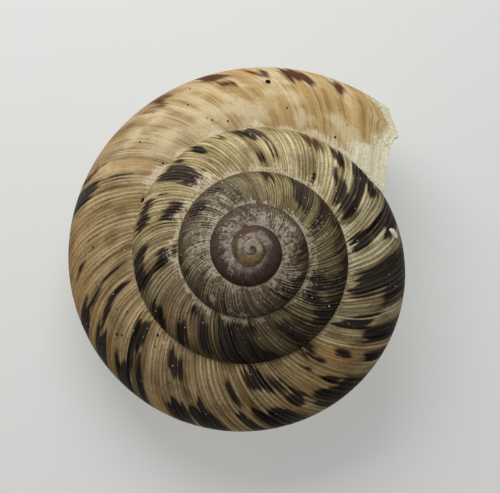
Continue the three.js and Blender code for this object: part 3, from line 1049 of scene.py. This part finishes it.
def glaze():
    """Thin porcelain-like glaze that lines the mouth: pale, smooth and warm grey."""
    return new_material("mouth glaze", {"Base Color": linear("#B9AE9B"), "Roughness": 0.3})


def dried_soil():
    """Dried soil: dark, crumbly and quite matt."""
    values = {"Base Color": linear("#17120E"), "Roughness": 0.9, "Specular IOR Level": 0.2}
    return new_material("dried soil", values)


def lime_flake():
    """Flaked lime of the shell's own wall: chalk white and matt."""
    return new_material("flaked lime", {"Base Color": linear("#EFE9E2"), "Roughness": 0.8})


def glowing_table(look):
    """Pale, even table with a painted glow of its own and no lamp: it keeps the shadow on it light and lights
    the shell from below.
    """
    values = {"Base Color": look.table_colour, "Roughness": 0.8}
    values |= {"Emission Color": linear("#F4F5F2"), "Emission Strength": look.table_glow}
    return new_material("glowing table", values)


# Pieces and stage
def remove_loose(data):
    """Drops the vertices that welding left without a face."""
    grid = bmesh.new()
    grid.from_mesh(data)
    bmesh.ops.delete(grid, geom=[v for v in grid.verts if not v.link_faces], context="VERTS")
    grid.to_mesh(data)
    grid.free()


class SHELL_OT_build(bpy.types.Operator):
    """Builds the whole shell in place of its plain solid"""

    bl_idname = "snail_shell.build"
    bl_label = "Build shell"

    def execute(self, context):
        shape = context.scene.snail_shape
        mesh, smooth = shell_mesh(shape)
        turn = rest_matrix().T * shape.lip_radius
        shift = rest_shift(smooth @ turn)
        points = np.concatenate(mesh.points) @ turn + shift
        points[:, 2] = np.maximum(points[:, 2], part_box("shell")[0].z)
        context.scene["apex"] = shift.tolist()

        data = bpy.data.meshes.new("shell_surface")
        data.from_pydata(points.tolist(), [], mesh.faces)
        marks = np.array(mesh.marks, dtype=np.float32)
        for k, name in enumerate(ShellMesh.MARKS):
            layer = data.attributes.new(name, "FLOAT", "CORNER")
            layer.data.foreach_set("value", np.ascontiguousarray(marks[:, k]))
        data.materials.append(periostracum())
        data.materials.append(glaze())
        data.polygons.foreach_set("material_index", np.array(mesh.glazed, dtype=np.int32))
        data.polygons.foreach_set("use_smooth", np.ones(len(mesh.faces), dtype=bool))
        remove_loose(data)
        data.set_sharp_from_angle(angle=CREASE_ANGLE)
        shell = bpy.data.objects.new("snail_shell", data)
        context.scene.collection.objects.link(shell)
        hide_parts("shell")
        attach(shell, "root")
        return {"FINISHED"}


def camera_place(scene):
    """Where the camera stands: above the spire and to its side, with the apex at its place in the picture."""
    flat = math.cos(CAMERA_ELEVATION)
    back = Vector(
        (math.sin(CAMERA_AZIMUTH) * flat, -math.cos(CAMERA_AZIMUTH) * flat, math.sin(CAMERA_ELEVATION))
    )
    level = Vector((math.cos(CAMERA_AZIMUTH), math.sin(CAMERA_AZIMUTH), 0))
    steep = back.cross(level)
    right = level * math.cos(CAMERA_ROLL) + steep * math.sin(CAMERA_ROLL)
    up = steep * math.cos(CAMERA_ROLL) - level * math.sin(CAMERA_ROLL)
    aside = (IMAGE_WIDTH / 2 - APEX_PIXEL[0]) / PIXELS_PER_METRE
    above = (APEX_PIXEL[1] - IMAGE_HEIGHT / 2) / PIXELS_PER_METRE
    place = Matrix((right, up, back)).transposed().to_4x4()
    place.translation = Vector(scene["apex"]) + back * CAMERA_DISTANCE + right * aside + up * above
    return place


def add_lump(lumps, spot, normal, size, breadth, flatness, draw):
    """Adds one small angular lump that sits a third of its height in the surface."""
    made = bmesh.ops.create_icosphere(lumps, subdivisions=1, radius=0.5)["verts"]
    for vert in made:
        vert.co *= draw.uniform(*SPECK_DENTS)
    height = size * flatness
    length, width = size * draw.uniform(*SPECK_LENGTH), size * breadth * draw.uniform(*SPECK_WIDTH)
    stretch = Matrix.Diagonal((length, width, height, 1))
    spin = Matrix.Rotation(draw.uniform(0, math.tau), 4, "Z")
    stand = normal.to_track_quat("Z", "Y").to_matrix().to_4x4()
    place = Matrix.Translation(spot + normal * height * SPECK_RAISED) @ stand @ spin @ stretch
    bmesh.ops.transform(lumps, matrix=place, verts=made)


class SHELL_OT_specks(bpy.types.Operator):
    """Strews the grains of soil and flakes of lime over the shell"""

    bl_idname = "snail_shell.specks"
    bl_label = "Strew specks"

    def execute(self, context):
        data = bpy.data.objects["snail_shell"].data
        surface = BVHTree.FromPolygons([v.co for v in data.vertices], [p.vertices for p in data.polygons])
        eye = camera_place(context.scene)
        draw = np.random.default_rng(SPECK_SEED)
        # Breadth and flatness are shares of the length.
        for name, specks, breadth, flatness, material in (
            ("soil_grains", SOIL_GRAINS, 0.75, 0.7, dried_soil()),
            ("lime_flakes", LIME_FLAKES, 0.55, 0.25, lime_flake()),
        ):
            lumps = bmesh.new()
            for column, row, size in specks:
                ahead = Vector((column - IMAGE_WIDTH / 2, IMAGE_HEIGHT / 2 - row, -FOCAL_PIXELS))
                spot, normal = surface.ray_cast(eye.translation, (eye.to_3x3() @ ahead).normalized())[:2]
                if spot is None:
                    raise RuntimeError(f"{name}: nothing at pixel {column}, {row}")
                add_lump(lumps, spot, normal, size * MILLIMETRE, breadth, flatness, draw)
            mesh = bpy.data.meshes.new(name)
            lumps.to_mesh(mesh)
            lumps.free()
            mesh.materials.append(material)
            piece = bpy.data.objects.new(name, mesh)
            context.scene.collection.objects.link(piece)
            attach(piece, "root")
        return {"FINISHED"}


class SHELL_OT_stage(bpy.types.Operator):
    """Sets up the table, the light and the camera"""

    bl_idname = "snail_shell.stage"
    bl_label = "Set stage"

    def execute(self, context):
        look = context.scene.snail_studio
        bpy.ops.mesh.primitive_plane_add(size=TABLE_SIZE)
        table = context.object
        table.name = "table"
        # The table's glow is painted light: it lifts the shadow on it and lights the shell from below.
        table.data.materials.append(glowing_table(look))

        world = bpy.data.worlds.new("studio")
        world.use_nodes = True
        background = world.node_tree.nodes["Background"]
        background.inputs["Color"].default_value = linear("#FFFFFF")
        background.inputs["Strength"].default_value = look.sky
        context.scene.world = world
        context.scene.view_settings.view_transform = "Standard"

        key = bpy.data.objects.new("key_light", bpy.data.lights.new("key_light", "AREA"))
        key.data.shape = "RECTANGLE"
        key.data.size, key.data.size_y = KEY_SIZE
        key.data.energy = look.key_power
        toward = Vector((KEY_ASIDE, math.cos(KEY_ELEVATION), math.sin(KEY_ELEVATION)))
        key.location = toward.normalized() * KEY_DISTANCE
        key.rotation_euler = toward.to_track_quat("Z", "Y").to_euler()
        context.scene.collection.objects.link(key)

        lens = bpy.data.cameras.new("camera")
        lens.sensor_width = SENSOR
        lens.lens = FOCAL_PIXELS * SENSOR / IMAGE_WIDTH
        lens.clip_start, lens.clip_end = 0.01, 10
        camera = bpy.data.objects.new("camera", lens)
        camera.matrix_world = camera_place(context.scene)
        context.scene.collection.objects.link(camera)
        context.scene.camera = camera
        return {"FINISHED"}


class SHELL_PT_panel(bpy.types.Panel):
    """Lists the shell's sizes and its steps."""

    bl_idname = "SHELL_PT_panel"
    bl_label = "Land snail shell"
    bl_space_type = "VIEW_3D"
    bl_region_type = "UI"
    bl_category = "Shell"

    def draw(self, context):
        for group in (context.scene.snail_shape, context.scene.snail_studio):
            for name in group.__annotations__:
                self.layout.prop(group, name)
        self.layout.operator(SHELL_OT_build.bl_idname)
        self.layout.operator(SHELL_OT_specks.bl_idname)
        self.layout.operator(SHELL_OT_stage.bl_idname)


CLASSES = (ShellShape, StudioLook, SHELL_OT_build, SHELL_OT_specks, SHELL_OT_stage, SHELL_PT_panel)


def register():
    for item in CLASSES:
        bpy.utils.register_class(item)
    bpy.types.Scene.snail_shape = bpy.props.PointerProperty(type=ShellShape)
    bpy.types.Scene.snail_studio = bpy.props.PointerProperty(type=StudioLook)


def unregister():
    del bpy.types.Scene.snail_shape
    del bpy.types.Scene.snail_studio
    for item in reversed(CLASSES):
        bpy.utils.unregister_class(item)


def main():
    register()
    bpy.ops.snail_shell.build()
    bpy.ops.snail_shell.specks()
    bpy.ops.snail_shell.stage()
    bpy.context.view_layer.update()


if __name__ == "__main__":
    main()
